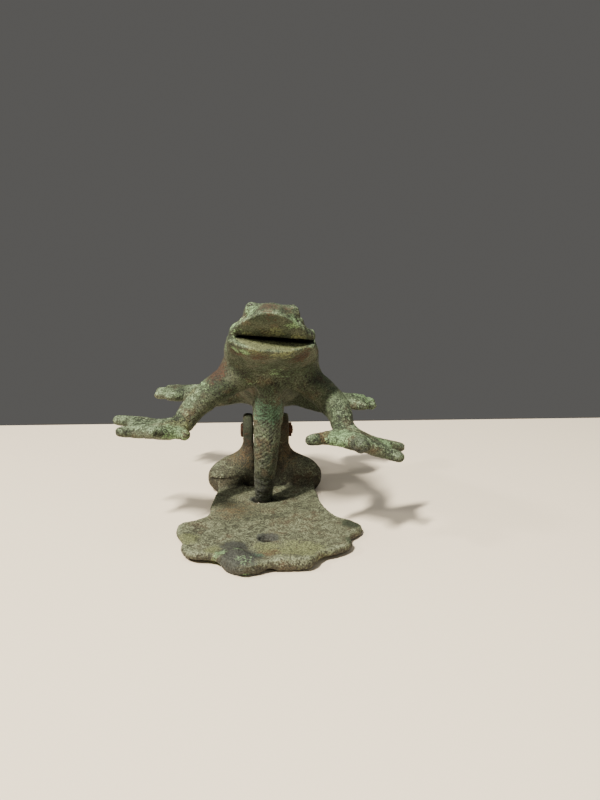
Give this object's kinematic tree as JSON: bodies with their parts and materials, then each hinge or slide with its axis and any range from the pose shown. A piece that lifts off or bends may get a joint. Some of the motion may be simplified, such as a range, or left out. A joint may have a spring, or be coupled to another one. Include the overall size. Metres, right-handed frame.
{
  "type": "frog door knocker",
  "caption": "Weathered cast bronze door knocker: a leaping frog hinged on a lobed back plate, with a curved striker horn under its chest.",
  "frame": {"origin": "on the flat back of the plate, on its centre line, about halfway between the front fixing hole and the striker hole", "axes": "+Z out of the door, from the plate's back towards the frog; +Y along the plate from its lobed front end to the hinge, which is up on a door; +X across the plate along the hinge pin"},
  "size_m": [0.1406, 0.1541, 0.1056],
  "materials": {
    "frog_patina": "sand-cast bronze, matt verdigris with file marks and pits",
    "plate_patina": "sand-cast bronze, matt grey-green and brown patina",
    "rusted_steel": "matt brown rust"
  },
  "bodies": {
    "backplate": {"back_plate": "plate_patina", "hinge_foot": "plate_patina", "left_lug": "plate_patina", "right_lug": "plate_patina", "hinge_pin": "rusted_steel", "pin_washer": "rusted_steel"},
    "frog": {"torso": "frog_patina", "skull": "frog_patina", "lower_jaw": "frog_patina", "left_eye": "frog_patina", "right_eye": "frog_patina", "left_upper_arm": "frog_patina", "left_forearm": "frog_patina", "left_hand": "frog_patina", "right_upper_arm": "frog_patina", "right_forearm": "frog_patina", "right_hand": "frog_patina", "left_thigh": "frog_patina", "left_shank": "frog_patina", "left_hind_foot": "frog_patina", "right_thigh": "frog_patina", "right_shank": "frog_patina", "right_hind_foot": "frog_patina", "striker_horn": "frog_patina", "hinge_tang": "frog_patina"}
  },
  "joints": [
    {"name": "frog_hinge", "type": "hinge", "parent": "backplate", "child": "frog", "pos_m": [0, 0.0635, 0.031], "axis": [-1, 0, 0], "range_deg": [0, 75]}
  ]
}
